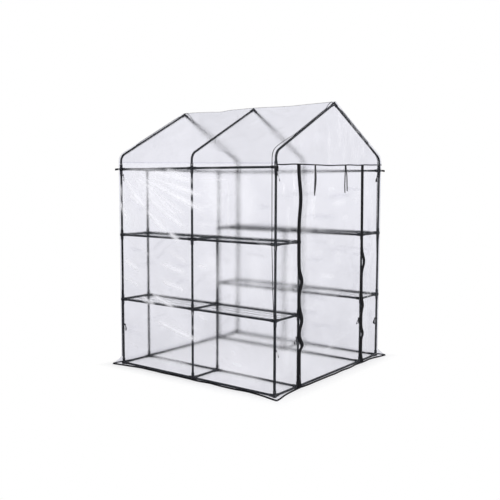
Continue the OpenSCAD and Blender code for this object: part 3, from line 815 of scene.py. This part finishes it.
layFilm("roof_sheet", flatRoof + lift[..., None] * outward, white, roofFilm,
        ["left_roof_film", "right_roof_film"])
print("film: eight sheets")


# Wire shelves

shelf = dict(
    longWires=5, crossWires=16, wireRadius=0.0009, crossRadius=0.0007, edgeRadius=0.0011,
    middleGap=0.013,  # half the gap between the two grids of a pair
)


def shelfWires(low, high):
    # Two welded grids, each with long wires below, cross wires above, and thicker wires round the edge
    bars = []
    edge, level = shelf["edgeRadius"], low.z + shelf["edgeRadius"]
    for near, far in ((low.y, -shelf["middleGap"]), (shelf["middleGap"], high.y)):
        x = np.linspace(low.x + edge, high.x - edge, shelf["longWires"])
        ends = [xyz(x, y, level) for y in (near, far)]
        bars += rods(ends[0][1:-1], ends[1][1:-1], shelf["wireRadius"])
        bars += rods(ends[0][[0, -1]], ends[1][[0, -1]], edge)
        y = np.linspace(near + edge, far - edge, shelf["crossWires"])
        ends = [xyz(x, y, level + shelf["wireRadius"]) for x in (low.x, high.x)]
        bars += rods(ends[0], ends[1], shelf["crossRadius"])
    return bars


for node in ("left_lower_shelves", "right_lower_shelves", "left_upper_shelves", "right_upper_shelves"):
    grids = shelfWires(*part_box(node))
    putPiece(node.replace("shelves", "wire_grids"), grids, dippedWire, [node])
print("shelves: four pairs of wire grids")


# Zips

zipTape = dict(
    width=0.042, thickness=0.0016, step=0.008, foot=0.001,
    coilPitch=0.004, coilSteps=8, coilAcross=0.0026, coilDeep=0.0013, coilGap=0.0006, wire=0.0007,
)
slider = dict(
    length=0.013, width=0.01, depth=0.0055, step=0.001,
    pullLength=0.022, pullWidth=0.008, pullGap=0.0008, pullLap=0.006,
    pullWire=dict(width=0.0016, thickness=0.0026),
)


def zipPath(side, step, off):
    # Down the film's edge, over its bulges and the skirt, at a distance off its face
    z = np.linspace(zipTop - frontDrop(side * zipX), zipTape["foot"], round(zipTop / step) + 1)
    x = np.full_like(z, side * zipX)
    y = -wallY - frontOut(x, z) - skirtShare(z) * hemReach("front", x) - off
    return xyz(x + zipLean(x, z), y, z)


def coilLine(side):
    # A flattened helix along the middle of the zip
    turns = round(zipTop / zipTape["coilPitch"])
    line = zipPath(
        side, zipTape["coilPitch"] / zipTape["coilSteps"], zipTape["thickness"] + zipTape["coilGap"])
    turn = np.linspace(0, 2 * math.pi * turns, len(line))
    return line + xyz(zipTape["coilAcross"] * np.cos(turn), zipTape["coilDeep"] * np.sin(turn), 0)


poleTurn = 0.47 * math.pi  # the rows stop short of the poles, where flat faces close the ball


def squaredBall(middle, size, power, rows=12, columns=20):
    # Superellipsoid: a ball whose sines and cosines are raised to a power below 1
    rise, turn = np.meshgrid(
        np.linspace(-poleTurn, poleTurn, rows), np.linspace(0, 2 * math.pi, columns, endpoint=False),
        indexing="ij")
    shape = xyz(np.cos(rise) * np.cos(turn), np.cos(rise) * np.sin(turn), np.sin(rise))
    return middle + np.sign(shape) * np.abs(shape) ** power * size / 2


def stadium(middle, width, length, count):
    # Upright ring in x and z with round ends, from its foot round to its foot
    turn = np.linspace(0, 2 * math.pi, count)
    straight = (length - width) / 2
    steepness = 4  # how quickly an end turns into the straight sides
    lift = np.sign(np.cos(turn)) * smoothStep(steepness * np.abs(np.cos(turn)))
    z = -width / 2 * np.cos(turn) - straight * lift
    return middle + xyz(width / 2 * np.sin(turn), 0, z)


outFront = (0.0, -1.0, 0.0)
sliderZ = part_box("zip_sliders")[1].z - slider["length"] / 2
tapeCut = tapeSection(zipTape, 20)
sliders = []
for side, name in ((-1, "left"), (1, "right")):
    node = name + "_door_zip"
    tape = sweep(zipPath(side, zipTape["step"], zipTape["thickness"] / 2), tapeCut, outFront)
    putPiece(name + "_zip_tape", [tape], zipWeave, [node])
    coil = sweep(coilLine(side), roundSection(zipTape["wire"], 5), outFront)
    putPiece(name + "_zip_coil", [coil], nylonCoil, [node])
    line = zipPath(side, slider["step"], zipTape["thickness"])
    at = line[np.abs(line[:, 2] - sliderZ).argmin()] + (0, -slider["depth"] / 2, 0)
    pullDrop = slider["length"] / 2 + slider["pullLength"] / 2 - slider["pullLap"]
    pullAt = at + (0, -slider["depth"] / 2 - slider["pullGap"], -pullDrop)
    pull = stadium(pullAt, slider["pullWidth"], slider["pullLength"], 33)
    sliders += [
        squaredBall(at, (slider["width"], slider["depth"], slider["length"]), 0.5),
        sweep(pull, tapeSection(slider["pullWire"], 8), outFront),
    ]
putPiece("zip_slider_pair", sliders, lacqueredZinc, ["zip_sliders"])
print("zips: two tapes with coils and sliders")


# Seams, tapes and hem

cornerSeam = dict(
    width=0.005, thickness=0.002, wallRows=90,
    wallSetback=[  # height, distance behind the end wall
        (0.06, 0.012), (0.5, 0.012), (0.7, 0.022), (1.0, 0.031), (1.5, 0.033)],
    slopeSetback=[  # share of the way up the slope, distance behind the end wall
        (0.0, 0.033), (0.1, 0.036), (0.2, 0.028), (0.3, 0.01), (0.85, 0.01), (0.93, 0.03), (1.0, 0.036)],
)


def seamPath(end):
    # Up one wall, over the roof and down the other, at a setback behind the end wall that drifts
    wallZ = np.linspace(skirtZ, seamZ, cornerSeam["wallRows"])
    right = np.stack([np.full_like(wallZ, wallX), wallZ], axis=1)
    line = np.vstack([right * (-1, 1), wholeRoof[1:-1], right[::-1]])
    slope = 1 - np.abs(line[:, 0]) / wallX
    onWall = np.interp(line[:, 1], *np.array(cornerSeam["wallSetback"]).T)
    onSlope = np.interp(slope, *np.array(cornerSeam["slopeSetback"]).T)
    setback = np.where(line[:, 1] <= seamZ, onWall, onSlope)
    tangent = unit(np.gradient(line, axis=0))
    facing = xyz(-tangent[:, 1], 0, tangent[:, 0])
    path = xyz(line[:, 0], end * (wallY - setback), line[:, 1])
    return path + facing * cornerSeam["thickness"] / 2, facing


seamCut = tapeSection(cornerSeam, 10)
for end, name in ((-1, "front"), (1, "back")):
    path, facing = seamPath(end)
    putPiece(name + "_corner_seam", [sweep(path, seamCut, facing)], bindingWeave,
             [name + "_binding"])

headerTape = dict(width=0.008, thickness=0.002, droop=0.0015, waveSeed=61, waveLength=0.5, columns=160)
# Header tape across the front at the height of the seam, drooping in slow waves
x = np.linspace(-wallX, wallX, headerTape["columns"])
droop = headerTape["droop"] * (1 + softWaves(x, 0 * x, headerTape["waveSeed"], headerTape["waveLength"]))
path = xyz(x, -wallY - headerTape["thickness"] / 2, seamZ - frontDrop(x) - droop)
headerCut = tapeSection(headerTape, 14)
putPiece("header_tape", [sweep(path, headerCut, outFront)], bindingWeave,
         ["header_binding"])

hemTape = dict(
    width=0.011, thickness=0.0018, z=0.0062, step=0.01,
    zipGap=0.001,  # between the hem and a zip tape
    lean=0.3,  # how far the tape faces upwards
)


def hemPath(side, start, stop):
    # Along the foot of one side at the tape's height, out to the mitred corners, and the way it faces
    along = spaced(start, stop, hemTape["step"])
    z = np.full_like(along, hemTape["z"])
    share = skirtShare(hemTape["z"])
    out = share * hemReach(side, along) + hemTape["thickness"] / 2
    if side == "front":
        out = out + frontOut(along, z)
    face = sides[side][3]
    sign = math.copysign(1, face)
    along = mitred(side, along, share)
    if side in ("left", "right"):
        return xyz(face + sign * out, along, z), (sign, 0, hemTape["lean"])
    return xyz(along, face + sign * out, z), (0, sign, hemTape["lean"])


beside = zipTape["width"] / 2 + hemTape["zipGap"]
hemRuns = [
    ("left", -wallY, wallY), ("right", -wallY, wallY), ("back", -wallX, wallX),
    ("front", -wallX, -zipX - beside), ("front", beside - zipX, zipX - beside),
    ("front", zipX + beside, wallX)]
hemCut = tapeSection(hemTape, 12)
putPiece("hem_tape", [sweep(path, hemCut, facing) for path, facing in (hemPath(*run) for run in hemRuns)],
         bindingWeave, ["hem_binding"])
print("seams: corners, header and hem")


# Straps, loops and ties

straps = dict(
    width=0.016, thickness=0.001, rows=30,
    outerGap=0.0014, innerGap=0.0018, bow=0.003,  # gap to the film, and what is added half way down
    swingPower=1.3,
    each=[  # name, x, inside, length, sideways swing of the free end
        ("left_outer_strap", -0.26, False, 0.185, 0.001), ("left_inner_strap", -0.26, True, 0.205, 0.004),
        ("right_outer_strap", 0.155, False, 0.185, 0.028), ("right_inner_strap", 0.152, True, 0.195, 0.002),
    ],
)
strapCut = tapeSection(straps, 10)
fall = np.linspace(0, 1, straps["rows"])
for name, place, inside, length, swing in straps["each"]:
    # A strap hangs from the header, swings aside and bows away from the film
    x = place + swing * fall ** straps["swingPower"]
    z = zipTop - frontDrop(x) - length * fall
    gap = (straps["innerGap"] if inside else straps["outerGap"]) + straps["bow"] * np.sin(math.pi * fall)
    y = -wallY - frontOut(x, z) + (gap if inside else -gap)
    strap = putPiece(name, [sweep(xyz(x, y, z), strapCut, outFront)], ribbonWeave,
                     ["door_straps"])

guyLoop = dict(
    width=0.014, thickness=0.002, steps=48,
    line=[  # outwards and sideways from the corner, in metres: a flat loop lying on its edge
        (0.0015, 0.0015), (0.006, 0.0025), (0.013, 0.006), (0.02, 0.0085), (0.026, 0.006), (0.0275, 0.0),
        (0.026, -0.006), (0.02, -0.0085), (0.013, -0.006), (0.006, -0.0025), (0.0015, -0.0015)],
    droops=(0.022, 0.003, 0.003, 0.006),  # fall of each loop's far end
)
corners = [(sx, sy) for sx in (-1, 1) for sy in (-1, 1)]


def hangingLoop(droop):
    # A strap on its edge round the loop's line, which falls as the square of its reach
    line = smoothLine(guyLoop["line"], guyLoop["steps"])
    path = xyz(line[:, 0], line[:, 1], -droop * (line[:, 0] / line[:, 0].max()) ** 2)
    facing = np.cross(unit(np.gradient(path, axis=0)), (0, 0, 1))
    return sweep(path, tapeSection(guyLoop, 10), facing)


putPiece("corner_guy_loops", [
    turned(hangingLoop(droop), math.degrees(math.atan2(sy, sx)), (sx * wallX, sy * wallY, eaveZ))
    for (sx, sy), droop in zip(corners, guyLoop["droops"])], webbingWeave, ["guy_loops"])

tie = dict(
    width=0.012, thickness=0.0013, clear=0.0002,
    openTurn=12,  # degrees by which the band's ends stop short of the knot
    knot=0.0105, lump=0.16, lumpTurns=3, lumpPace=500,  # lumps round the knot, which turn with height
    tail=0.045, tailRibbon=dict(width=0.009, thickness=0.00091), tailOut=0.006, tailCurve=2.2,
    tailSplay=(0.002, 0.014), splayPower=0.8, tailTwist=(0.3, 1.4),  # at the knot, and what the fall adds
    highDrop=0.05, lowZ=0.3, doorZ=0.34,
    knotTurns=(0.0, -45.0, 135.0, -135.0),  # side of each corner post that has the knot, in degrees
)


def postTie():
    # Ribbon round a post on the upright axis, a lumpy knot on its +x side, and two tails that twist
    # as they hang
    turn = np.radians(np.linspace(tie["openTurn"], 360 - tie["openTurn"], 40))
    radius = tubeRadius + tie["thickness"] / 2 + tie["clear"]
    ring = xyz(radius * np.cos(turn), radius * np.sin(turn), tie["width"] / 2)
    band = sweep(ring, tapeSection(tie, 10), ring * (1, 1, 0))
    at = np.array([tubeRadius + tie["knot"] / 2, 0, tie["width"] / 2])
    ball = squaredBall((0, 0, 0), (tie["knot"],) * 3, 0.8, 14, 22)
    around = np.arctan2(ball[..., 1], ball[..., 0])
    lumps = 1 + tie["lump"] * np.sin(tie["lumpTurns"] * around + tie["lumpPace"] * ball[..., 2])
    parts = [band, ball * lumps[..., None] + at]
    tailCut = tapeSection(tie["tailRibbon"], 10)
    drop = np.linspace(0, 1, 22)
    splay = tie["tailSplay"][0] + tie["tailSplay"][1] * drop ** tie["splayPower"]
    for spread in (-1, 1):
        path = at + xyz(
            tie["tailOut"] * np.sin(tie["tailCurve"] * drop), spread * splay, -tie["tail"] * drop)
        twist = spread * (tie["tailTwist"][0] + tie["tailTwist"][1] * drop)
        parts.append(sweep(path, tailCut, xyz(np.cos(twist), np.sin(twist), 0)))
    return parts


tieParts = postTie()
tiePlaces = [
    (sx * postX, sy * frameY, z, turn)
    for (sx, sy), turn in zip(corners, tie["knotTurns"]) for z in (tie["lowZ"], eaveZ - tie["highDrop"])]
tiePlaces += [(side * zipX, -frameY, tie["doorZ"], 90.0) for side in (-1, 1)]
putPiece("post_ties", [
    turned(part, degrees, (x, y, z)) for x, y, z, degrees in tiePlaces for part in tieParts],
    ribbonWeave, ["frame_ties"])
print("trim: straps, loops and", len(tiePlaces), "ties")


# Finishes of the CAD tubes and connectors

for name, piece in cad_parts.items():
    if piece.hide_render:
        continue
    finish = mouldedPlastic if name.endswith("connectors") else powderCoat
    piece.data.materials.clear()
    piece.data.materials.append(finish)
print("finishes: set on the CAD nodes that show")
